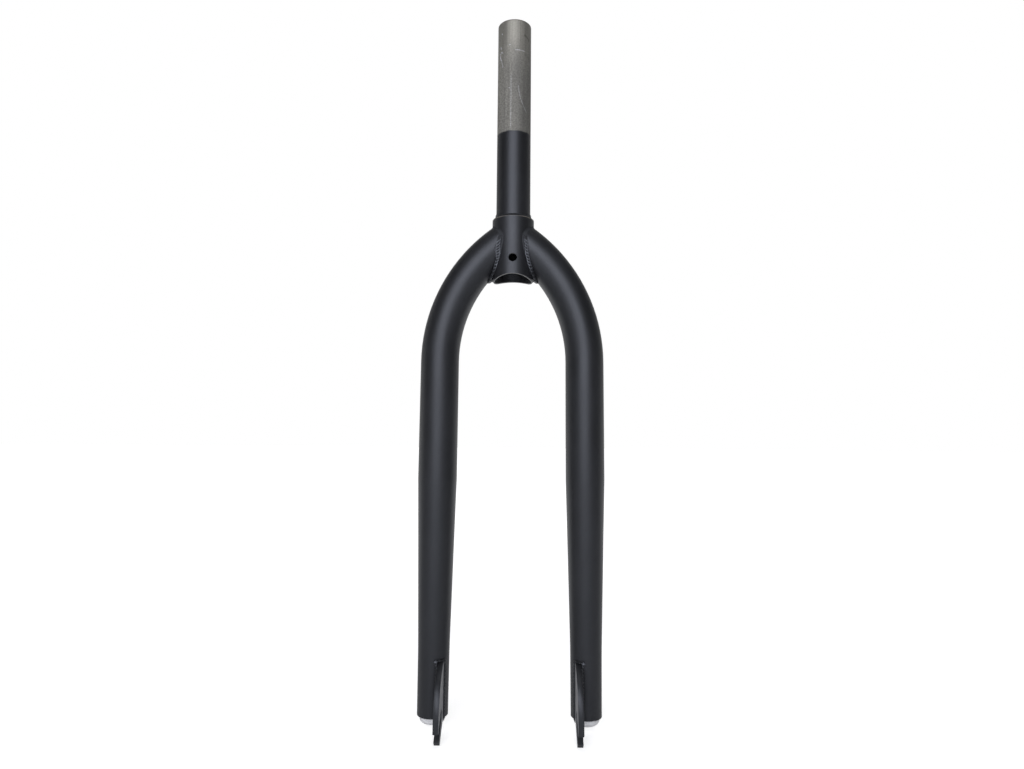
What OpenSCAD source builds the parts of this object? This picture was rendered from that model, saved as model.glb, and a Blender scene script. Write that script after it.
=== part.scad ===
// Rigid BMX fork: one-piece steerer and crown, two bent tapered legs and slotted dropout plates.
// Z runs up the steerer and z = 0 is the step above the crown race seat. -Y is the fork's front.

/* [Steerer] */
// Outside diameter of the steerer
steerer_d = 28.6; // [28:0.1:29.4]
// Bore of the steerer
steerer_bore_d = 25.4; // [22:0.1:26]
// Height of the steerer above the crown race step
steerer_h = 170; // [140:1:260]
// Length of unpainted steel at the top
bare_h = 100; // [40:1:130]
// Bevel at the steerer's cut end
top_bevel = 0.3; // [0.1:0.1:0.6]

/* [Crown] */
// Diameter of the crown race seat
seat_d = 30; // [29.8:0.1:30.4]
// Height of the crown race seat
seat_h = 2; // [1:0.1:4]
// Outside diameter of the crown
crown_d = 34.8; // [34:0.1:36]
// Bore of the crown, below the steerer's own bore
crown_bore_d = 30.8; // [28:0.1:31.4]
// Distance from the race step down to the lowest tips of the crown
crown_drop = 57.2; // [56.8:0.1:60]
// How far the wheel arch rises between those tips
arch_rise = 4.4; // [2:0.1:6]
// Bevel outside those tips, as a share of the crown's wall
tip_bevel_share = 0.75; // [0.3:0.05:0.75]
// Diameter of the brake bolt hole
brake_hole_d = 7; // [5:0.1:8]
// Distance from the race step down to the brake bolt hole
brake_hole_drop = 39.7; // [34:0.1:44]

/* [Legs] */
// Distance between the two leg centres
leg_spacing = 118.4; // [117:0.1:120]
// Outside diameter of a leg above its taper
leg_d = 31; // [30:0.1:31.8]
// Outside diameter at the end of the long taper
leg_low_d = 24.6; // [23:0.1:26]
// Outside diameter at the open bottom
leg_end_d = 23.9; // [23:0.1:25]
// Wall of the leg tube
leg_wall = 1.5; // [1:0.1:2]
// Centreline radius of the bend
bend_r = 124; // [120:1:128]
// Distance from the race step down to the foot of the bend
bend_drop = 123.5; // [121:0.5:126]
// Distance from the race step down to the start of the taper
taper_drop = 218; // [190:1:240]
// Distance from the race step down to the end of the long taper
taper_end_drop = 346; // [330:1:350]
// Distance from the race step down to the bottom of the legs
leg_drop = 396.5; // [396:0.5:400]

/* [Dropouts] */
// Clear distance between the two plates, for the hub
hub_width = 100; // [99:0.5:101]
// Thickness of a plate
plate_t = 4.4; // [3:0.1:6]
// Distance of the axle centre in front of the leg centre
axle_forward = 24; // [23:0.1:25]
// Distance from the race step down to the axle centre
axle_drop = 390; // [389:0.1:391]
// Width of the axle slot
slot_w = 10.2; // [9.6:0.1:10.6]
// Angle of the slot, forward from straight down
slot_angle = 45; // [42:1:48]
// Length of the slot from the axle centre to its mouth
slot_length = 16.3; // [15:0.1:18]
// How far the plate's front edge stands in front of the leg centre
plate_forward = 38.5; // [37:0.1:40]
// Radius of the plate's shoulder
shoulder_r = 34; // [32:0.5:36]
// Thickness of the rear prong at its tip
rear_tip_t = 4.1; // [3:0.1:5]

/* [Welds] */
// Width of the crown bead on the front and back of a leg
crown_bead_w = 7; // [2:0.1:7.4]
// Depth of the crown bead down the crown, in the crotch below each leg
crotch_fill = 3; // [2:0.1:3]
// Width of the dropout bead on each side of its root
plate_bead_w = 2.2; // [1.5:0.1:2.6]
// Crown of a bead above its flat face
bead_height = 0.8; // [0.4:0.1:1.2]
// Ripples in one crown bead
crown_ripples = 42; // [30:1:50]
// Ripples up one side of a dropout bead
plate_ripples = 17; // [12:1:22]

/* [End plugs] */
// How far a plug stands below the leg
plug_out = 6.2; // [3:0.1:8]
// Radius of the plug's rounded lower edge
plug_round = 4.8; // [2:0.1:5]
// Depth of the plug inside the leg
plug_in = 12; // [6:1:20]
// Diameter of the plug where it shows
plug_d = 20.2; // [18:0.1:20.6]

/* [Hidden] */
$fn = 96;

paint = [0.16, 0.16, 0.18];
bare_steel = [0.5, 0.49, 0.48];
pale_plastic = [0.72, 0.72, 0.73];

crown_r = crown_d / 2;
leg_r = leg_d / 2;
leg_x = leg_spacing / 2;
bend_x = leg_x - bend_r;
bend_sweep = 58;
seat_chamfer = (crown_d - seat_d) / 2;
race_drop = seat_h + seat_chamfer;
bore_step = (crown_bore_d - steerer_bore_d) / 2;
bore_land = 2;
bore_step_drop = race_drop + bore_land;
crown_wall = (crown_d - crown_bore_d) / 2;
tip_bevel = crown_wall * tip_bevel_share;
// How far the crown runs on below its tips before the arch is cut, as a share of its wall
tip_over_share = 0.2;
tip_over = crown_wall * tip_over_share;
tip_r = crown_r - tip_bevel;
// The arch is a cylinder across the crown, through both tips and over the middle
arch_r = (pow(tip_r, 2) + pow(arch_rise, 2)) / (2 * arch_rise);
over = 1;
rings_per_ripple = 3;
// Height of a bead at each ring of one ripple, as a share of the full height
ripple_shape = [0.35, 1, 0.8];
root_gap = 0.05;
// Added to the slot's round end, so that its straight sides cut it and don't just touch it
tangent_ease = 0.04;
// The plate: its shoulder's centre above the axle, and its root's depth inside the leg's surface
shoulder_rise = 1.5;
root_depth = 2;
shoulder_z = -axle_drop + shoulder_rise;
// The plate bead stops this far above the leg's rim, and is narrower by this share beside the hub
bead_foot_gap = 1;
inner_narrowing = 0.3;
// How far the plate bead runs on below the leg's rim, beside the hub
inner_overrun = 2.5;
// The plate bead over the plate's top end, as a share of its width and height elsewhere
top_share = 0.5;
// The crown bead round the leg's section, from 0 above the leg, over 90 at its front and back, to
// 180 in the crotch: width on the crown, width on the leg, and share of the bead's full height
crown_side = [[0, 1.2], [90, 0.4], [105, 0.8], [120, 1.9], [140, 3.1], [160, 3.4], [180, crotch_fill]];
leg_side = [[0, 1.4], [60, 2.6], [90, crown_bead_w], [125, 2.6], [150, 2.2], [165, 3.6], [180, 6.2]];
crown_bead_share = [[0, 0.15], [70, 0.15], [90, 1], [150, 1], [180, 0.8]];

// The turned outline of the steerer and crown between two heights, from the outside in
module turned(outer, bore) {
    rotate_extrude() polygon(concat(outer, bore));
}

// Runs a little past the crown's tips, for the arch to cut
module steerer_tube() {
    color(bare_steel) turned(
        [[steerer_d / 2, steerer_h - bare_h], [steerer_d / 2, steerer_h - top_bevel],
         [steerer_d / 2 - top_bevel, steerer_h]],
        [[steerer_bore_d / 2, steerer_h], [steerer_bore_d / 2, steerer_h - bare_h]]);
    color(paint) turned(
        [[steerer_d / 2, steerer_h - bare_h], [steerer_d / 2, 0], [seat_d / 2, 0],
         [seat_d / 2, -seat_h], [crown_r, -race_drop],
         [crown_r, -crown_drop + tip_bevel], [tip_r - tip_over, -crown_drop - tip_over]],
        [[crown_bore_d / 2, -crown_drop - tip_over], [crown_bore_d / 2, -bore_step_drop - bore_step],
         [steerer_bore_d / 2, -bore_step_drop], [steerer_bore_d / 2, steerer_h - bare_h]]);
}

module wheel_arch() {
    translate([0, 0, -crown_drop + arch_rise - arch_r])
        rotate([90, 0, 0]) cylinder(r = arch_r, h = crown_d + 2 * over, center = true);
}

module brake_hole() {
    translate([0, 0, -brake_hole_drop])
        rotate([90, 0, 0]) cylinder(d = brake_hole_d, h = crown_d + 2 * over, center = true);
}

module steerer() {
    difference() {
        steerer_tube();
        color(paint) wheel_arch();
        color(paint) brake_hole();
    }
}

// Leg tube on the +X side, drawn solid at a wall's depth below its outer surface
module leg_solid(inset) {
    translate([bend_x, 0, -bend_drop]) rotate([90, 0, 0])
        rotate_extrude(angle = bend_sweep) translate([bend_r, 0]) circle(r = leg_r - inset);
    translate([leg_x, 0, 0]) rotate_extrude() polygon([
        [0, -bend_drop], [leg_r - inset, -bend_drop], [leg_r - inset, -taper_drop],
        [leg_low_d / 2 - inset, -taper_end_drop], [leg_end_d / 2 - inset, -leg_drop],
        [0, -leg_drop]]);
}

module right_leg() {
    color(paint) difference() {
        leg_solid(0);
        leg_solid(leg_wall);
        translate([0, 0, -2 * crown_drop]) cylinder(r = crown_r, h = 2 * crown_drop);
    }
}

// The plate's side view: forward distance along x, height along y
module plate_outline() {
    shoulder = [plate_forward - shoulder_r, shoulder_z];
    along = [sin(slot_angle), -cos(slot_angle)];
    across = [cos(slot_angle), sin(slot_angle)];
    axle = [axle_forward, -axle_drop];
    mouth = axle + along * slot_length;
    rear_tip = mouth - across * (slot_w / 2 + rear_tip_t);
    tip_reach = (plate_forward - mouth[0]) / across[0];
    top = shoulder[1] + shoulder_r;
    difference() {
        polygon([[0, top], [plate_forward, top], mouth + across * tip_reach, rear_tip,
                 [leg_end_d / 2 - root_depth, -leg_drop], [0, -leg_drop]]);
        difference() {
            translate(shoulder) square(shoulder_r + over);
            translate(shoulder) circle(r = shoulder_r);
        }
    }
}

module axle_slot() {
    translate([axle_forward, -axle_drop]) {
        circle(d = slot_w + tangent_ease);
        rotate(slot_angle - 90) translate([0, -slot_w / 2])
            square([2 * slot_length, slot_w]);
    }
}

// The lower leg's outside, run on past its rim, to cope the plate's root
module leg_cope() {
    run = leg_drop - taper_end_drop;
    narrowing = (leg_low_d - leg_end_d) / 2 * over / run;
    translate([leg_x, 0, -leg_drop - over])
        cylinder(r1 = leg_end_d / 2 - narrowing, r2 = leg_low_d / 2, h = run + over);
}

module right_dropout() {
    color(paint) difference() {
        translate([hub_width / 2, 0, 0]) rotate([90, 0, -90]) mirror([0, 0, 1])
            linear_extrude(plate_t) difference() {
                plate_outline();
                axle_slot();
            }
        leg_cope();
    }
}

// Skin of a swept solid: each ring is a list of points, the first one at the weld's root
module swept(rings, closed) {
    count = len(rings);
    size = len(rings[0]);
    last = closed ? count : count - 1;
    sides = [for (i = [0:last - 1], j = [0:size - 1])
        let (i2 = (i + 1) % count, j2 = (j + 1) % size)
            each [[i * size + j, i2 * size + j, i2 * size + j2],
                  [i * size + j, i2 * size + j2, i * size + j2]]];
    caps = closed ? [] : [
        [for (j = [0:size - 1]) j],
        [for (j = [size - 1:-1:0]) (count - 1) * size + j]];
    polyhedron(points = [for (ring = rings) each ring], faces = concat(sides, caps));
}

function unit(v) = v / norm(v);
function ripple(i) = ripple_shape[i % rings_per_ripple];

// One ring of a bead: its root, the two toes and a rounded face between them
function bead_ring(root, toe_a, toe_b, out, height) = concat([root, toe_a],
    [for (t = [0.25, 0.5, 0.75]) toe_a * (1 - t) + toe_b * t + out * height * sin(180 * t)],
    [toe_b]);

// The leg's surface at an angle round its section and an angle round its bend
function leg_skin(a, bend) =
    let (reach = bend_r + leg_r * cos(a))
        [bend_x + reach * cos(bend), leg_r * sin(a), reach * sin(bend) - bend_drop];
// The bend angle at which that surface meets the crown
function mitre(a) =
    acos((sqrt(pow(crown_r, 2) - pow(leg_r * sin(a), 2)) - bend_x) / (bend_r + leg_r * cos(a)));
// The crown's surface laid flat, and back
function flat(p) = [crown_r * atan2(p[1], p[0]) * PI / 180, p[2]];
function wrapped(q) =
    let (turn = q[0] / crown_r * 180 / PI) [crown_r * cos(turn), crown_r * sin(turn), q[1]];

function crown_bead_ring(a, i) =
    let (bend = mitre(a), root = leg_skin(a, bend),
         ahead = flat(leg_skin(a + 1, mitre(a + 1))), behind = flat(leg_skin(a - 1, mitre(a - 1))),
         travel = ahead - behind, aside = unit([-travel[1], travel[0]]),
         round = acos(cos(a)), crown_toe = wrapped(flat(root) + aside * lookup(round, crown_side)),
         leg_turn = lookup(round, leg_side) / (bend_r + leg_r * cos(a)) * 180 / PI,
         leg_toe = leg_skin(a, bend - leg_turn),
         crown_out = [root[0], root[1], 0] / crown_r,
         leg_out = [cos(a) * cos(bend), sin(a), cos(a) * sin(bend)])
        bead_ring(root, crown_toe, leg_toe, unit(crown_out + leg_out),
                  bead_height * ripple(i) * lookup(round, crown_bead_share));

module right_crown_weld() {
    count = crown_ripples * rings_per_ripple;
    color(paint) swept([for (i = [0:count - 1]) crown_bead_ring(360 * i / count, i)], true);
}

function leg_radius(z) = lookup(-z, [[taper_drop, leg_r], [taper_end_drop, leg_low_d / 2],
                                     [leg_drop, leg_end_d / 2]]);
// The lower leg's surface at an angle from its front towards the hub
function low_skin(turn, z) =
    [leg_x - leg_radius(z) * sin(turn), -leg_radius(z) * cos(turn), z];

plate_outer = leg_x - hub_width / 2 - plate_t;
plate_inner = leg_x - hub_width / 2;
plate_top = shoulder_z + sqrt(pow(shoulder_r, 2)
    - pow(leg_low_d / 2 - root_depth - plate_forward + shoulder_r, 2));
plate_foot = -leg_drop + bead_foot_gap;

// One stop on the bead's way round the plate's root: place across, height and way out
function plate_stops() =
    let (steps = plate_ripples * rings_per_ripple, rise = plate_top - plate_foot, corner = 4, top = 6,
         inner_rise = plate_top + leg_drop + inner_overrun)
        concat([for (i = [0:steps]) [plate_outer, plate_foot + rise * i / steps, 180]],
               [for (i = [1:corner]) [plate_outer, plate_top, 180 - 90 * i / corner]],
               [for (i = [1:top - 1]) [plate_outer + plate_t * i / top, plate_top, 90]],
               [for (i = [0:corner - 1]) [plate_inner, plate_top, 90 - 90 * i / corner]],
               [for (i = [0:steps]) [plate_inner, plate_top - inner_rise * i / steps, 0]]);

function plate_bead_ring(stop, i) =
    let (out = [cos(stop[2]), sin(stop[2])],
         place = stop[0] + out[0] * root_gap, z = stop[1] + out[1] * root_gap,
         radius = leg_radius(z), turn = asin(place / radius), root = low_skin(turn, z),
         share = 1 - (1 - top_share) * out[1],
         width = plate_bead_w * share * (1 - inner_narrowing * max(0, out[0])),
         leg_toe = low_skin(turn + out[0] * width / radius * 180 / PI, z + out[1] * width),
         plate_toe = root - [0, plate_bead_w, 0],
         leg_out = [-sin(turn), -cos(turn), 0], plate_out = [-out[0], 0, out[1]])
        bead_ring(root, plate_toe, leg_toe, unit(leg_out + plate_out),
                  bead_height * ripple(i) * share);

module right_dropout_weld() {
    stops = plate_stops();
    color(paint) swept([for (i = [0:len(stops) - 1]) plate_bead_ring(stops[i], i)], false);
}

module right_end_plug() {
    bore_r = leg_end_d / 2 - leg_wall;
    color(pale_plastic) translate([leg_x, 0, -leg_drop]) rotate_extrude() {
        square([bore_r, plug_in]);
        translate([0, -plug_out + plug_round]) square([plug_d / 2, plug_out - plug_round]);
        translate([0, -plug_out]) square([plug_d / 2 - plug_round, plug_round]);
        intersection() {
            translate([plug_d / 2 - plug_round, plug_round - plug_out]) circle(r = plug_round);
            translate([0, -plug_out]) square([plug_d / 2, plug_round]);
        }
    }
}

module left() {
    mirror([1, 0, 0]) children();
}

steerer();
left() right_leg();  // left_leg
right_leg();
left() right_crown_weld();  // left_crown_weld
right_crown_weld();
left() right_dropout();  // left_dropout
right_dropout();
left() right_dropout_weld();  // left_dropout_weld
right_dropout_weld();
left() right_end_plug();  // left_end_plug
right_end_plug();
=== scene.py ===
# Rigid BMX fork: looks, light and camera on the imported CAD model. Metres, +Z up, front = -Y.
import math

import bmesh
import bpy
from mathutils import Matrix, Vector, noise


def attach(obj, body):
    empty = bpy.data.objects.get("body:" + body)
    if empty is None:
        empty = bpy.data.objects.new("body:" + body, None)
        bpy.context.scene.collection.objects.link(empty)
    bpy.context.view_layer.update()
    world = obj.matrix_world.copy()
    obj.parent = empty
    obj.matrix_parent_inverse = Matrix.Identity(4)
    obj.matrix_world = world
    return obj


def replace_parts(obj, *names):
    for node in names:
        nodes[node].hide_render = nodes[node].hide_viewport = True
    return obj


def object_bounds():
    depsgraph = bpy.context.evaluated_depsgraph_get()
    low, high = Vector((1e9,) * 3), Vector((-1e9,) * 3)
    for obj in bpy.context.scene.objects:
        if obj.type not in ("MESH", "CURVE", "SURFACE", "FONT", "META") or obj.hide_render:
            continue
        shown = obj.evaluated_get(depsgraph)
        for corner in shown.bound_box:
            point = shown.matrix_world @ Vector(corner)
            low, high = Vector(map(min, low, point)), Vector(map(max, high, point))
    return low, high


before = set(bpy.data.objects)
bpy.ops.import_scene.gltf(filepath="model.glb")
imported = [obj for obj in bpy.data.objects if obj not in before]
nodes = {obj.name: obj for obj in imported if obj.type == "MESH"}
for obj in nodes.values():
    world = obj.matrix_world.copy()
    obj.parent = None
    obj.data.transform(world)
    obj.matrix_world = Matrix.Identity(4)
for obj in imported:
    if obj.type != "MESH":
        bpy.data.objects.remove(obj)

cad_low, cad_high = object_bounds()
MM = 0.001

# Sizes shared with part.scad, in millimetres
STEERER_R, CROWN_R = 14.3, 17.4
LEG_R, LEG_LOW_R, LEG_END_R = 15.5, 12.3, 11.95
LEG_X = 59.2
BEND_R, BEND_DROP = 124.0, 123.5
TAPER_DROP, TAPER_END_DROP, LEG_DROP = 218.0, 346.0, 396.5
PLATE_IN, PLATE_T, ROOT_DEPTH = 50.0, 4.4, 2.0
PLATE_FORWARD, SHOULDER_R, SHOULDER_Z = 38.5, 34.0, -388.5
PAINT_TOP = 70.0


# Materials

class Nodes:
    """A node tree, with short calls for the nodes used here."""

    def __init__(self, tree, shader, place):
        self.tree = tree
        self.shader = tree.nodes[shader]
        self.place = self.add("TexCoord").outputs[place]

    def add(self, kind, **settings):
        node = self.tree.nodes.new(f"ShaderNode{kind}")
        for key, value in settings.items():
            setattr(node, key, value)
        return node

    def give(self, socket, value):
        """Link an output to an input, or set the input's number or colour."""
        if isinstance(value, bpy.types.NodeSocket):
            self.tree.links.new(value, socket)
        else:
            socket.default_value = value

    def fill(self, node, **values):
        """Give a node's inputs, named here with _ for a space."""
        for key, value in values.items():
            self.give(node.inputs[key.replace("_", " ")], value)

    def put(self, **values):
        self.fill(self.shader, **values)

    def stretched(self, squeeze):
        """Places with their heights squeezed, which draws a noise out along Z."""
        node = self.add("Mapping")
        self.fill(node, Vector=self.place, Scale=(1, 1, squeeze))
        return node.outputs["Vector"]

    def noise(self, vector, scale, detail=3.0, rough=0.55):
        node = self.add("TexNoise")
        self.fill(node, Vector=vector, Scale=scale, Detail=detail, Roughness=rough)
        return node.outputs["Fac"]

    def remap(self, value, low, high, to_low=0.0, to_high=1.0, kind="LINEAR"):
        node = self.add("MapRange", interpolation_type=kind)
        self.fill(node, Value=value, From_Min=low, From_Max=high, To_Min=to_low, To_Max=to_high)
        return node.outputs["Result"]

    def math(self, operation, a, b=0.0):
        node = self.add("Math", operation=operation)
        self.give(node.inputs[0], a)
        self.give(node.inputs[1], b)
        return node.outputs[0]

    def plus(self, a, b):
        return self.math("ADD", a, b)

    def minus(self, a, b):
        return self.math("SUBTRACT", a, b)

    def times(self, a, b):
        return self.math("MULTIPLY", a, b)

    def absolute(self, a):
        return self.math("ABSOLUTE", a)

    def mix(self, share, under, over):
        """One colour laid over another, by the upper one's share."""
        node = self.add("Mix", data_type="RGBA")
        self.fill(node, Factor=share)
        for socket, colour in ((node.inputs[6], under), (node.inputs[7], over)):
            self.give(socket, (*colour, 1.0) if isinstance(colour, tuple) else colour)
        return node.outputs[2]

    def bump(self, height, strength, distance):
        node = self.add("Bump")
        self.fill(node, Height=height, Strength=strength, Distance=distance)
        self.put(Normal=node.outputs["Normal"])

    def axis(self, name):
        node = self.add("SeparateXYZ")
        self.give(node.inputs[0], self.place)
        return node.outputs[name]

    def rays(self, name):
        return self.add("LightPath").outputs[name]

    def attribute(self, name):
        return self.add("Attribute", attribute_name=name).outputs["Fac"]

    def band(self, edges):
        """Mask of a band of heights, from its four edges upwards in mm."""
        low, low_full, high_full, high = (edge * MM for edge in edges)
        up = self.axis("Z")
        return self.times(self.remap(up, low, low_full), self.remap(up, high_full, high, 1.0, 0.0))

    def mark(self, around, up, ends, width, bow, strength):
        """Mask of one thin mark on the steerer, in the terms of STEEL_MARKS."""
        start, end = (Vector((math.radians(turn) * STEERER_R, height)) * MM for turn, height in ends)
        run = end - start
        along = run / run.length_squared
        side = Vector((-run.y, run.x)) / run.length
        u = self.minus(around, start.x)
        v = self.minus(up, start.y)
        way = self.plus(self.times(u, along.x), self.times(v, along.y))
        aside = self.plus(self.times(u, side.x), self.times(v, side.y))
        arc = self.times(self.times(way, self.minus(1.0, way)), 4 * bow * MM)
        off = self.absolute(self.minus(aside, arc))
        from_middle = self.absolute(self.minus(way, 0.5))
        across = self.remap(off, MARK_CORE * width * MM, 0.5 * width * MM, strength, 0.0)
        return self.times(across, self.remap(from_middle, MARK_END, 0.5, 1.0, 0.0))

    def marks(self, table, broken):
        """Mask of thin marks on the steerer, broken up by a noise."""
        turn = self.math("ARCTAN2", self.axis("X"), self.times(self.axis("Y"), -1.0))
        around = self.times(turn, STEERER_R * MM)
        up = self.axis("Z")
        total = 0.0
        for row in table:
            total = self.math("MAXIMUM", total, self.mark(around, up, *row))
        return self.times(total, self.remap(broken, 0.3, 0.6, MARK_BROKEN, 1.0))


class Surface(Nodes):
    """The node tree of a new material."""

    def __init__(self, name):
        self.material = bpy.data.materials.new(name)
        self.material.use_nodes = True
        super().__init__(self.material.node_tree, "Principled BSDF", "Object")


# Colours, as linear red, green and blue. The paint, the steel and the plugs have a darkest and a
# lightest one, and the others are laid over them.
PAINT = ((0.0078, 0.0080, 0.0088), (0.0118, 0.0121, 0.0134))
# Painted shade for the ripples' dips on the weld beads
DIP_SHADE_BLACK = (0.004, 0.004, 0.0045)
# Painted highlight for the ripples' rims on the weld beads
RIM_HIGHLIGHT_GREY = (0.150, 0.158, 0.180)
# Painted reflection for the plates' hub-side faces
HUB_SIDE_REFLECTION_GREY = (0.185, 0.188, 0.200)
# Painted shade for the band under the crown race
RACE_SHADE_BLACK = (0.002, 0.002, 0.002)
# Pale colour of the line under the race, stronger towards the sides
RACE_PALE = (0.20, 0.18, 0.15)
STEEL = ((0.312, 0.302, 0.268), (0.432, 0.420, 0.374))
STEEL_CLOUD = (0.240, 0.230, 0.215)
# Painted shade on the bare steel, lower down and towards the right
STEEL_SHADE = (0.130, 0.127, 0.117)
STEEL_SPECK = (0.115, 0.112, 0.098)
STEEL_SMUDGE = (0.105, 0.103, 0.088)
STEEL_END = (0.06, 0.052, 0.042)
STEEL_BRIGHT = (0.80, 0.80, 0.86)
PLUG = ((0.82, 0.82, 0.83), (0.88, 0.88, 0.89))
PLUG_GRIME = (0.60, 0.60, 0.61)

# The range that most of a noise's values are in
NOISE = (0.3, 0.7)
# The relief of paint and steel: the bump's strength, and its depth in metres
RELIEF, RELIEF_DEPTH = 0.12, 0.00012
# The cool tint of the paint's highlights
COOL_SHEEN = (0.87, 0.91, 1.0, 1.0)
# The value of a bead's painted light at which it gets neither painted shade nor painted highlight
PLAIN_CREST = 0.25

# Heights on the painted crown race chamfer: its band of painted shade, and the pale line below it
RACE_SHADE_BAND = (-4.4, -4.1, -2.5, -2.2)
RACE_PALE_LINE = (-5.1, -4.8, -4.5, -4.3)

# Handling marks on the bare steel: where each starts and ends, as degrees round the tube from its
# front and a height in mm, then its width in mm, its bow to one side in mm and its strength
STEEL_MARKS = (
    (((-49, 159.6), (-46, 158.0)), 1.5, 0.0, 1.0),
    (((-55, 147.8), (-51, 145.2)), 1.2, 0.0, 0.9),
    (((-19, 146.9), (-13, 146.7)), 0.9, 0.0, 0.5),
    (((-60, 140.8), (-50, 142.6)), 1.1, -0.2, 1.0),
    (((-50, 142.6), (-43, 140.8)), 1.0, 0.0, 0.8),
    (((-58, 140.2), (-50, 134.6)), 1.2, -0.4, 1.0),
    (((-50, 134.6), (-43, 127.5)), 0.9, 0.3, 0.5),
    (((2, 141.8), (38, 141.9)), 0.9, 0.2, 0.62),
    (((-19, 108.2), (-14, 107.8)), 1.0, 0.0, 0.6),
    (((14, 111.5), (50, 86.5)), 0.7, -2.2, 0.36),
    (((-10.5, 122.0), (-10.5, 71.0)), 0.7, 0.0, 0.36),
)
# Darker smudges on the steel, in the same terms
STEEL_SMUDGES = (
    (((34, 157.0), (62, 153.5)), 3.0, 0.6, 0.55),
    (((36, 139.5), (58, 137.5)), 3.4, 0.5, 0.5),
    (((-20, 130.0), (-22, 74.0)), 2.6, 0.5, 0.30),
    (((-34, 120.0), (-34, 72.0)), 1.6, 0.0, 0.25),
    (((30, 126.0), (34, 74.0)), 4.0, 0.8, 0.30),
)
# A mark is full up to this share of its width off its line, and to this share of its length from its
# middle. Where it is broken up it keeps this share of its strength.
MARK_CORE, MARK_END, MARK_BROKEN = 0.15, 0.42, 0.35


def paint_parts(n, tone=1.0):
    """Matte black paint: colour, roughness and orange peel as node outputs."""
    broad = n.noise(n.stretched(0.35), 60.0)
    fine = n.noise(n.place, 1400.0, 2.0)
    dark, light = (tuple(part * tone for part in colour) for colour in PAINT)
    colour = n.mix(n.remap(broad, 0.35, 0.68), dark, light)
    rough = n.plus(n.remap(broad, *NOISE, 0.43, 0.49), n.remap(fine, *NOISE, -0.02, 0.02))
    peel = n.plus(n.times(fine, 0.6), n.noise(n.place, 420.0, 2.0))
    return colour, rough, peel


def coat(n, colour, rough, relief, shine=0.6):
    """Give a surface its colour, roughness, relief and cool highlights, and return its material."""
    n.put(Base_Color=colour, Roughness=rough, Specular_IOR_Level=shine, Specular_Tint=COOL_SHEEN)
    n.bump(relief, RELIEF, RELIEF_DEPTH)
    return n.material


def black_paint(name):
    n = Surface(name)
    return coat(n, *paint_parts(n))


def bead_paint(name):
    """The same paint over a weld: smoother with painted highlight on the ripples' rims, rougher with
    painted shade in the dips.
    """
    n = Surface(name)
    colour, rough, peel = paint_parts(n, tone=1.1)
    painted_light = n.attribute("painted_light")
    dip = n.remap(painted_light, 0.0, PLAIN_CREST, 1.0, 0.0)
    rim = n.remap(painted_light, 0.3, 0.9)
    # Painted shade in the ripples' dips
    colour = n.mix(n.times(dip, 0.6), colour, DIP_SHADE_BLACK)
    # Painted highlight on the ripples' rims
    colour = n.mix(n.times(rim, 0.8), colour, RIM_HIGHLIGHT_GREY)
    rough = n.plus(n.plus(rough, n.times(dip, 0.25)), n.times(rim, -0.14))
    return coat(n, colour, rough, peel, shine=0.7)


def plate_finish(name):
    """The same paint on the plates, with a painted reflection lighting the faces that the hub is clamped
    against.
    """
    n = Surface(name)
    colour, rough, peel = paint_parts(n, tone=1.15)
    # Painted reflection on the hub-side faces
    hub_side_reflection = n.remap(n.absolute(n.axis("X")), (PLATE_IN + 0.3) * MM, (PLATE_IN + 0.1) * MM)
    return coat(n, n.mix(n.times(hub_side_reflection, 0.8), colour, HUB_SIDE_REFLECTION_GREY), rough, peel)


def race_chamfer(n, paint, rough):
    """The steerer's paint with a band of painted shade under the race, and a pale line below it,
    stronger to the sides.
    """
    shade_band = n.band(RACE_SHADE_BAND)
    to_side = n.remap(n.absolute(n.axis("X")), 4 * MM, 10 * MM, 0.25, 1.0)
    pale_line = n.times(n.band(RACE_PALE_LINE), to_side)
    # Painted shade in the band under the race
    paint = n.mix(shade_band, paint, RACE_SHADE_BLACK)
    paint = n.mix(n.times(pale_line, 0.8), paint, RACE_PALE)
    return paint, n.plus(rough, n.times(shade_band, 0.45))


def drawn_steel(n):
    """Bare drawn steel: colour, roughness, relief and how metallic it is, as node outputs."""
    streak = n.noise(n.stretched(0.02), 900.0, 3.0, 0.6)
    broad = n.noise(n.stretched(0.10), 130.0)
    mottle = n.noise(n.place, 800.0, 3.0, 0.75)
    height = n.axis("Z")
    lower = n.remap(height, 155 * MM, 120 * MM)
    to_right = n.remap(n.axis("X"), -13 * MM, 8 * MM, 0.05, 0.68)
    specks = n.remap(mottle, 0.42, 0.58, 1.0, 0.0)
    layers = (
        (n.remap(broad, 0.42, 0.7, 0.0, 0.6), STEEL_CLOUD),
        # Painted shade, darker lower down and towards the right
        (n.times(lower, to_right), STEEL_SHADE),
        (n.times(specks, n.remap(lower, 0.0, 1.0, 0.15, 0.6)), STEEL_SPECK),
        (n.marks(STEEL_SMUDGES, broad), STEEL_SMUDGE),
        (n.remap(height, 168.8 * MM, 169.4 * MM, 0.0, 0.6), STEEL_END),
        (n.marks(STEEL_MARKS, mottle), STEEL_BRIGHT),
    )
    colour = n.mix(n.remap(streak, *NOISE), *STEEL)
    for share, over in layers:
        colour = n.mix(share, colour, over)
    rough = n.plus(n.remap(streak, *NOISE, 0.58, 0.68), n.times(lower, 0.10))
    return colour, rough, n.plus(streak, mottle), n.remap(lower, 0.0, 1.0, 0.9, 0.5)


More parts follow.
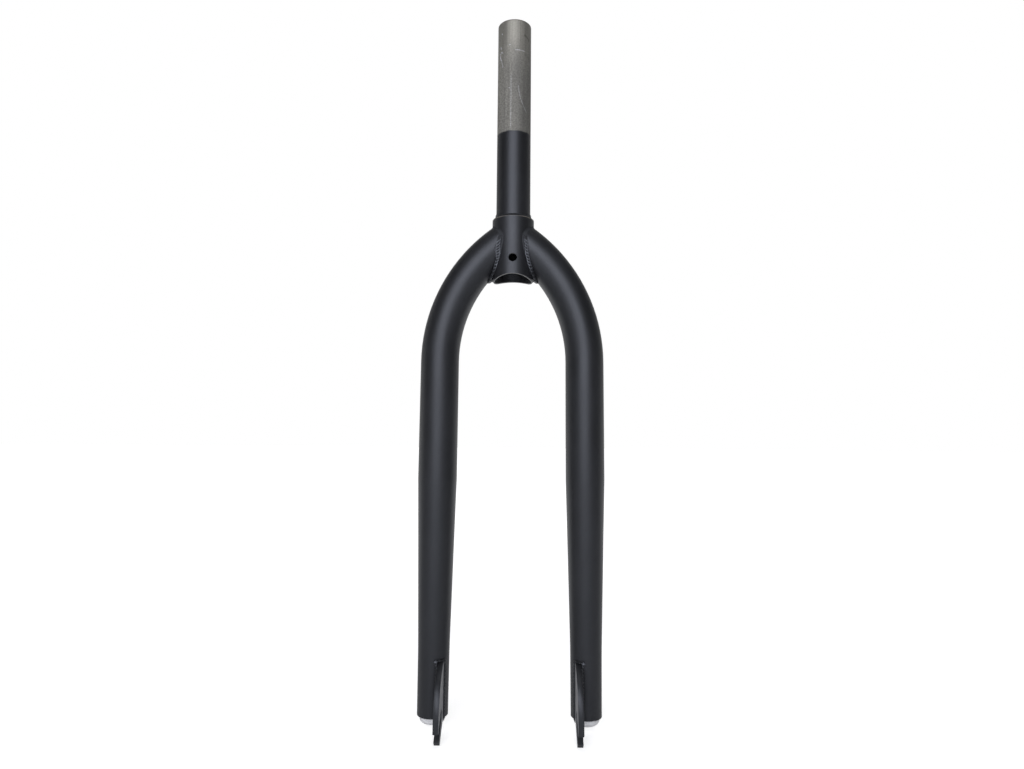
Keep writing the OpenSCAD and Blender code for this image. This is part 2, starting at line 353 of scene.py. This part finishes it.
def steerer_finish(name):
    """Black paint up to PAINT_TOP, then bare drawn steel with streaks and handling marks."""
    n = Surface(name)
    paint, paint_rough, peel = paint_parts(n)
    paint, paint_rough = race_chamfer(n, paint, paint_rough)
    steel, steel_rough, drawn, metallic = drawn_steel(n)
    wavy = n.plus(n.axis("Z"), n.remap(n.noise(n.place, 260.0, 2.0), 0.2, 0.8, -0.6 * MM, 0.6 * MM))
    bare = n.remap(wavy, (PAINT_TOP - 0.5) * MM, (PAINT_TOP + 0.7) * MM)
    painted = n.minus(1.0, bare)
    rough = n.plus(n.times(paint_rough, painted), n.times(steel_rough, bare))
    relief = n.plus(n.times(peel, painted), n.times(drawn, bare))
    n.put(Metallic=n.times(bare, metallic))
    return coat(n, n.mix(bare, paint, steel), rough, relief)


def plug_finish(name):
    """Pale grey moulded plug with faint drawn streaks and a little grime."""
    n = Surface(name)
    streak = n.noise(n.stretched(0.15), 700.0)
    grime = n.noise(n.place, 240.0, 4.0, 0.6)
    colour = n.mix(n.remap(streak, *NOISE), *PLUG)
    colour = n.mix(n.remap(grime, 0.55, 0.8, 0.0, 0.3), colour, PLUG_GRIME)
    n.put(Base_Color=colour, Roughness=n.remap(streak, *NOISE, 0.55, 0.65))
    n.bump(streak, 0.04, 0.0001)
    return n.material


def dress(node, material):
    mesh = nodes[node].data
    mesh.materials.clear()
    mesh.materials.append(material)


tube_paint = black_paint("tube_paint")
weld_paint = bead_paint("weld_paint")
plate_paint = plate_finish("plate_paint")
plug_coat = plug_finish("plug_coat")

dress("steerer", steerer_finish("steerer_coat"))
for side in ("left", "right"):
    dress(f"{side}_leg", tube_paint)
    dress(f"{side}_dropout", plate_paint)
    dress(f"{side}_end_plug", plug_coat)


# Shapes of the weld beads, in millimetres and degrees

# The crown bead round the leg's section, from 0 above the leg, over 90 at its front and back, to
# 180 in the crotch: width on the crown, width on each leg, share of the bead's full height, and
# share of its width that is a smooth run-in on the crown's side
ON_CROWN = ((0, 1.2), (90, 0.4), (105, 0.8), (120, 1.9), (140, 3.1), (160, 3.4), (180, 3.0))
ON_LEG = {
    "left": ((0, 1.4), (70, 2.6), (84, 5.4), (92, 8.4), (100, 8.0), (110, 6.6), (120, 4.2), (128, 2.0),
             (150, 1.6), (165, 3.6), (180, 6.2)),
    "right": ((0, 1.4), (70, 2.6), (84, 4.6), (92, 6.0), (100, 5.4), (110, 4.4), (120, 3.6), (130, 2.7),
              (150, 2.1), (165, 3.6), (180, 6.2)),
}
CROWN_SHARE = ((0, 0.0), (80, 0.0), (87, 1.0), (150, 1.0), (180, 0.7))
RUN_IN = ((0, 0.0), (70, 0.0), (88, 0.42), (100, 0.40), (110, 0.2), (120, 0.0), (180, 0.0))
# Share by which the bead's base is hollow, as a ground fillet is, and not straight from toe to toe
HOLLOW = ((0, 1.0), (80, 1.0), (100, 0.4), (120, 0.0), (180, 0.0))
# Share of the full painted highlight on the ripples' rims, which is smaller down in the leg's shade in
# the crotch
RIM_HIGHLIGHT_SHARE = ((0, 0.0), (84, 0.0), (91, 1.0), (138, 1.0), (152, 0.5), (180, 0.3))
CROWN_BEAD_HEIGHT, CROWN_PITCH = 1.6, 2.7
# How far the crown bead's ripples stray from even steps, in ripples, and how quickly along the bead
STRAY, STRAY_SCALE = 0.35, 0.12

# One ripple: how far its rim bows at the bead's middle, in ripples, and its dip's depth as a share of
# the bead's height. The rest are exponents: of the dip's place, of its width and of its fade towards
# the toes.
SCALE_CURVE, SCALE_DIP = 0.3, 0.6
DIP_LEAN, DIP_WIDTH, DIP_FADE = 0.7, 1.4, 1.6
# The bead's face: the exponent of its swell, its fine grain's height and scale, and the reach of the
# rims' painted highlight towards the toes
SWELL, GRAIN, GRAIN_SCALE, RIM_REACH = 0.6, 0.14, 0.5, 1.7

# The plate bead: where it ends, its size, its root's gap to the plate, and how much narrower it is
# over the plate's top and on the hub's side
PLATE_OUTER, PLATE_INNER = LEG_X - PLATE_IN - PLATE_T, LEG_X - PLATE_IN
PLATE_TOP = SHOULDER_Z + math.sqrt(
    SHOULDER_R ** 2 - (LEG_LOW_R - ROOT_DEPTH - PLATE_FORWARD + SHOULDER_R) ** 2)
OUTER_FOOT, INNER_FOOT = -LEG_DROP + 1, -LEG_DROP - 2.5
PLATE_BEAD_HEIGHT, PLATE_BEAD_WIDTH, PLATE_PITCH, ROOT_GAP = 1.3, 2.2, 2.6, 0.05
TOP_NARROWER, HUB_SIDE_NARROWER = 0.5, 0.3
# The larger last dab at the top of the outer side, where the welder stopped: how far it is below the
# plate's top, its reach, the height it adds as a share, and the rims' painted highlight away from it
DAB_DROP, DAB_REACH, DAB_RISE, DAB_SHINE = 0.2, 1.7, 1.3, 0.3
# The share that the bead thins to at its inner foot, and the length in which it would lose all of it
FOOT_SHARE, FOOT_LENGTH = 0.15, 6.0
# The length below the plate's top over which the bead's dips turn to their painted shade
PLAIN_LENGTH = 3.0

# Stops along and across the beads: round the crown bead, along a plate's side, round its corner, over
# its top, and from toe to toe
CROWN_STOPS, SIDE_STOPS, CORNER_STOPS, TOP_STOPS, ACROSS = 1000, 270, 12, 24, 14
# The width of the plates' rounded edges
EASE = 0.35


def leg_skin(a, bend):
    """The leg's surface at an angle round its section and an angle round its bend."""
    reach = BEND_R + LEG_R * math.cos(a)
    return Vector((LEG_X - BEND_R + reach * math.cos(bend), LEG_R * math.sin(a),
                   reach * math.sin(bend) - BEND_DROP))


def mitre(a):
    """The bend angle at which that surface meets the crown."""
    across = math.sqrt(CROWN_R ** 2 - (LEG_R * math.sin(a)) ** 2)
    return math.acos((across - LEG_X + BEND_R) / (BEND_R + LEG_R * math.cos(a)))


def laid_flat(p):
    """A point on the crown, unrolled to the way round it and the height."""
    return Vector((CROWN_R * math.atan2(p.y, p.x), p.z))


def wrapped(q):
    """The unrolled point back on the crown."""
    turn = q.x / CROWN_R
    return Vector((CROWN_R * math.cos(turn), CROWN_R * math.sin(turn), q.y))


def between(x, table):
    """A value read from a table of (place, value) pairs, straight between them."""
    for (x0, v0), (x1, v1) in zip(table, table[1:]):
        if x <= x1:
            return v0 + (v1 - v0) * max(0.0, x - x0) / (x1 - x0)
    return table[-1][1]


def ripple(phase, across):
    """Height of a rippled bead, 0 to 1: a raised rim round each ripple and a dip between the rims."""
    off_middle = abs(2 * across - 1)
    t = (phase + SCALE_CURVE * (1 - off_middle ** 2)) % 1.0
    return 1 - math.sin(math.pi * t ** DIP_LEAN) ** DIP_WIDTH * (1 - off_middle ** DIP_FADE)


def crossing(toe_a, root, toe_b, out, height, phase, shine, run_in=0.0, hollow=0.0):
    """Points from toe to toe over a bead's rounded, rippled face, and how much painted highlight its rim
    gets at each.
    """
    line = []
    for k in range(ACROSS + 1):
        t = k / ACROSS
        face = max(0.0, t - run_in) / (1 - run_in)
        swell = math.sin(math.pi * face) ** SWELL
        straight = toe_a * (1 - t) + toe_b * t
        fillet = toe_a * (1 - t) ** 2 + root * (2 * t * (1 - t)) + toe_b * t ** 2
        rim = ripple(phase, face)
        grain = GRAIN * noise.noise(straight * GRAIN_SCALE)
        relief = swell * (1 - SCALE_DIP * (1 - rim) + grain)
        # The rim's painted highlight, scaled by shine and fading towards the toes
        painted_light = shine * rim * min(1.0, RIM_REACH * swell)
        line.append((straight.lerp(fillet, hollow) + out * (height * relief), painted_light))
    return line


def bead_object(name, rows, closed, side):
    """A bead from rows of (root, points across), mirrored for the left side."""
    bm = bmesh.new()
    # Each corner's painted light: a painted highlight on the rims, and painted shade in the dips
    painted_light = bm.verts.layers.float.new("painted_light")
    mirror = -1 if side == "left" else 1
    rings = []
    for root, line in rows:
        ring = []
        for p, brightness in [(root, 0.0), *line]:
            corner = bm.verts.new((mirror * p.x * MM, p.y * MM, p.z * MM))
            corner[painted_light] = brightness
            ring.append(corner)
        rings.append(ring)
    followers = rings[1:] + ([rings[0]] if closed else [])
    for here, there in zip(rings, followers):
        for j in range(len(here)):
            k = (j + 1) % len(here)
            bm.faces.new((here[j], there[j], there[k], here[k]))
    if not closed:
        bm.faces.new(rings[0])
        bm.faces.new(list(reversed(rings[-1])))
    bmesh.ops.recalc_face_normals(bm, faces=bm.faces)
    mesh = bpy.data.meshes.new(name)
    bm.to_mesh(mesh)
    bm.free()
    for polygon in mesh.polygons:
        polygon.use_smooth = True
    piece = bpy.data.objects.new(name, mesh)
    bpy.context.scene.collection.objects.link(piece)
    mesh.materials.append(weld_paint)
    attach(piece, "root")
    return piece


def mouth(a):
    """The edge of the leg's mouth on the crown, which is the crown bead's root."""
    return leg_skin(a, mitre(a))


def crown_bead(side):
    """The rippled bead round a leg's mouth. It is ground smooth over the top, as in the photo."""
    rows, way = [], 0.0
    step = math.radians(1)
    for i in range(CROWN_STOPS):
        a = 2 * math.pi * i / CROWN_STOPS
        bend = mitre(a)
        root = leg_skin(a, bend)
        way += (root - rows[-1][0]).length if rows else 0.0
        travel = laid_flat(mouth(a + step)) - laid_flat(mouth(a - step))
        aside = Vector((-travel.y, travel.x)).normalized()
        around = math.degrees(math.acos(math.cos(a)))
        crown_toe = wrapped(laid_flat(root) + aside * between(around, ON_CROWN))
        leg_toe = leg_skin(a, bend - between(around, ON_LEG[side]) / (BEND_R + LEG_R * math.cos(a)))
        crown_out = Vector((root.x, root.y, 0)) / CROWN_R
        leg_out = Vector((math.cos(a) * math.cos(bend), math.sin(a), math.cos(a) * math.sin(bend)))
        out = (crown_out + leg_out).normalized()
        height = CROWN_BEAD_HEIGHT * between(around, CROWN_SHARE)
        phase = way / CROWN_PITCH + STRAY * noise.noise(root * STRAY_SCALE)
        line = crossing(crown_toe, root, leg_toe, out, height, phase, between(around, RIM_HIGHLIGHT_SHARE),
                        between(around, RUN_IN), between(around, HOLLOW))
        rows.append((root, line))
    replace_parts(bead_object(f"{side}_crown_bead", rows, True, side), f"{side}_crown_weld")


def leg_radius(z):
    return between(-z, ((TAPER_DROP, LEG_R), (TAPER_END_DROP, LEG_LOW_R), (LEG_DROP, LEG_END_R)))


def low_skin(turn, z):
    """The leg's straight surface at a turn inwards from its front."""
    radius = leg_radius(z)
    return Vector((LEG_X - radius * math.sin(turn), -radius * math.cos(turn), z))


def plate_stops():
    """Stops round the plate's root, from its outer foot over its top to its inner foot.

    Each is a distance inwards from the leg's axis, a height, and the way out of the plate in degrees.
    """
    rise, fall = PLATE_TOP - OUTER_FOOT, PLATE_TOP - INNER_FOOT
    stops = [(PLATE_OUTER, OUTER_FOOT + rise * i / SIDE_STOPS, 180) for i in range(SIDE_STOPS + 1)]
    stops += [(PLATE_OUTER, PLATE_TOP, 180 - 90 * i / CORNER_STOPS) for i in range(1, CORNER_STOPS + 1)]
    stops += [(PLATE_OUTER + PLATE_T * i / TOP_STOPS, PLATE_TOP, 90) for i in range(1, TOP_STOPS)]
    stops += [(PLATE_INNER, PLATE_TOP, 90 - 90 * i / CORNER_STOPS) for i in range(CORNER_STOPS)]
    stops += [(PLATE_INNER, PLATE_TOP - fall * i / SIDE_STOPS, 0) for i in range(SIDE_STOPS + 1)]
    return stops


def plate_bead(side):
    """The bead up the outer side of the plate's root, over its top end and down beside the hub."""
    rows, way, last = [], 0.0, None
    for inwards, up, angle in plate_stops():
        out = Vector((math.cos(math.radians(angle)), math.sin(math.radians(angle))))
        z = up + out.y * ROOT_GAP
        radius = leg_radius(z)
        turn = math.asin((inwards + out.x * ROOT_GAP) / radius)
        root = low_skin(turn, z)
        share = 1 - TOP_NARROWER * out.y
        run_out = min(1.0, FOOT_SHARE + (up - INNER_FOOT) / FOOT_LENGTH) if out.x > 0 else 1.0
        width = PLATE_BEAD_WIDTH * share * (1 - HUB_SIDE_NARROWER * max(0.0, out.x)) * run_out
        leg_toe = low_skin(turn + out.x * width / radius, z + out.y * width)
        plate_toe = root - Vector((0, PLATE_BEAD_WIDTH * run_out, 0))
        centre = (leg_toe + plate_toe) / 2
        way += (centre - last).length if rows else 0.0
        last = centre
        dab = math.exp(-((up - PLATE_TOP + DAB_DROP) / DAB_REACH) ** 2) * math.sqrt(max(0.0, -out.x))
        height = PLATE_BEAD_HEIGHT * share * (1 + DAB_RISE * dab) * run_out
        leg_out = Vector((-math.sin(turn), -math.cos(turn), 0))
        plate_out = Vector((-out.x, 0, out.y))
        line = crossing(plate_toe, root, leg_toe, (leg_out + plate_out).normalized(), height,
                        way / PLATE_PITCH, DAB_SHINE + (1 - DAB_SHINE) * dab)
        # Near the plate's top the dips get no painted shade
        plain = PLAIN_CREST * min(1.0, max(0.0, (up - PLATE_TOP) / PLAIN_LENGTH + 1))
        rows.append((root, [(p, max(plain, painted_light)) for p, painted_light in line]))
    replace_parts(bead_object(f"{side}_dropout_bead", rows, False, side), f"{side}_dropout_weld")


def eased(node):
    """Small rounded edges on a CAD plate, which catch the light as the painted ones do."""
    plate = nodes[node]
    weld = plate.modifiers.new("weld", "WELD")
    weld.merge_threshold = 1e-6
    flat = plate.modifiers.new("flat", "DECIMATE")
    flat.decimate_type = "DISSOLVE"
    flat.angle_limit = math.radians(0.5)
    bevel = plate.modifiers.new("ease", "BEVEL")
    bevel.width = EASE * MM
    bevel.segments = 2
    bevel.limit_method = "ANGLE"
    bevel.angle_limit = math.radians(40)
    bevel.harden_normals = True


for side in ("left", "right"):
    crown_bead(side)
    plate_bead(side)
    eased(f"{side}_dropout")


# Floor, light and camera, in metres

WHITE = (1, 1, 1)
FLOOR_RADIUS, FLOOR_GAP = 30.0, 0.0005
FLOOR_GREY = (0.88, 0.88, 0.88, 1)
# The floor's glow beside the fork, and the distances between which it grows to full
NEAR_GLOW, GLOW_FROM, GLOW_FULL = 0.62, 0.15, 1.2
# What reflections see: the room's brightness in front, the backdrop's behind, and how far towards +Y
# a direction points where the one starts to turn into the other and where it is done
ROOM_GLOW, BACKDROP_GLOW, BACKDROP_FROM, BACKDROP_FULL = 0.06, 0.7, 0.35, 0.8
# The middle of the fork, which every soft box faces
MIDDLE = Vector((0, 0, -0.12))
# The soft boxes: name, place, width, height, radiance and colour
SOFTBOXES = (
    ("key", (-0.15, -1.5, 0.42), 1.4, 1.1, 4.6, (0.93, 0.94, 1.0)),
    ("side_left", (-1.5, 0.45, 0.15), 0.30, 1.3, 0.9, WHITE),
    ("side_right", (1.5, 0.45, 0.15), 0.30, 1.3, 0.5, WHITE),
    ("top", (0, 0.1, 1.5), 0.9, 0.9, 1.8, WHITE),
)
# The camera that the photograph's edges give, from the steerer's and legs' known sizes
CAMERA_PLACE = (8.4 * MM, -563.0 * MM, -189.2 * MM)
YAW, PITCH, ROLL = math.radians(-0.87), math.radians(7.35), math.radians(0.47)
FOCAL_PX, IMAGE_WIDTH_PX, SENSOR_WIDTH, SHIFT_Y = 691.0, 1024.0, 36.0, -0.03


def floor_material():
    """Pale floor that goes to white away from the fork and keeps its shadow near it.

    Reflections see it dimmer in front of the fork.
    """
    n = Surface("floor_paint")
    distance = n.add("VectorMath", operation="LENGTH")
    n.give(distance.inputs[0], n.place)
    glow = n.remap(distance.outputs["Value"], GLOW_FROM, GLOW_FULL, NEAR_GLOW, 1.0)
    behind = n.remap(n.axis("Y"), 0.0, 0.5, 0.1, 1.0)
    seen = n.plus(n.rays("Is Camera Ray"), n.times(n.rays("Is Glossy Ray"), behind))
    n.put(Base_Color=FLOOR_GREY, Roughness=0.9, Specular_IOR_Level=0.1)
    n.put(Emission_Color=(*WHITE, 1), Emission_Strength=n.times(glow, seen))
    return n.material


def add_floor():
    mesh = bpy.data.meshes.new("floor")
    bm = bmesh.new()
    bmesh.ops.create_circle(bm, cap_ends=True, radius=FLOOR_RADIUS, segments=96)
    bm.to_mesh(mesh)
    bm.free()
    floor = bpy.data.objects.new("floor", mesh)
    floor.location = (0, 0, cad_low[2] - FLOOR_GAP)
    bpy.context.scene.collection.objects.link(floor)
    mesh.materials.append(floor_material())


def set_world():
    """White to the camera. Reflections see a bright backdrop behind and a dim room in front."""
    world = bpy.data.worlds.new("studio")
    bpy.context.scene.world = world
    world.use_nodes = True
    n = Nodes(world.node_tree, "Background", "Generated")
    behind = n.remap(n.axis("Y"), BACKDROP_FROM, BACKDROP_FULL, ROOM_GLOW, BACKDROP_GLOW, "SMOOTHSTEP")
    n.put(Color=(*WHITE, 1), Strength=n.math("MAXIMUM", n.rays("Is Camera Ray"), behind))


def add_softbox(name, place, width, height, radiance, colour):
    lamp = bpy.data.lights.new(name, "AREA")
    lamp.shape = "RECTANGLE"
    lamp.size, lamp.size_y = width, height
    lamp.energy = radiance * math.pi * width * height
    lamp.color = colour
    holder = bpy.data.objects.new(name, lamp)
    holder.location = place
    holder.rotation_euler = (MIDDLE - Vector(place)).to_track_quat("-Z", "Y").to_euler()
    bpy.context.scene.collection.objects.link(holder)


def add_camera():
    forward = Vector((math.sin(YAW) * math.cos(PITCH), math.cos(YAW) * math.cos(PITCH), math.sin(PITCH)))
    level = Vector((math.cos(YAW), -math.sin(YAW), 0))
    upright = level.cross(forward)
    right = level * math.cos(ROLL) + upright * math.sin(ROLL)
    up = upright * math.cos(ROLL) - level * math.sin(ROLL)
    lens = bpy.data.cameras.new("camera")
    lens.sensor_width = SENSOR_WIDTH
    lens.lens = FOCAL_PX / IMAGE_WIDTH_PX * lens.sensor_width
    lens.shift_y = SHIFT_Y
    camera = bpy.data.objects.new("camera", lens)
    turn = Matrix((right, up, -forward)).transposed().to_4x4()
    camera.matrix_world = Matrix.Translation(CAMERA_PLACE) @ turn
    bpy.context.scene.collection.objects.link(camera)
    bpy.context.scene.camera = camera


add_floor()
set_world()
for softbox in SOFTBOXES:
    add_softbox(*softbox)
add_camera()
bpy.context.scene.view_settings.view_transform = "Standard"
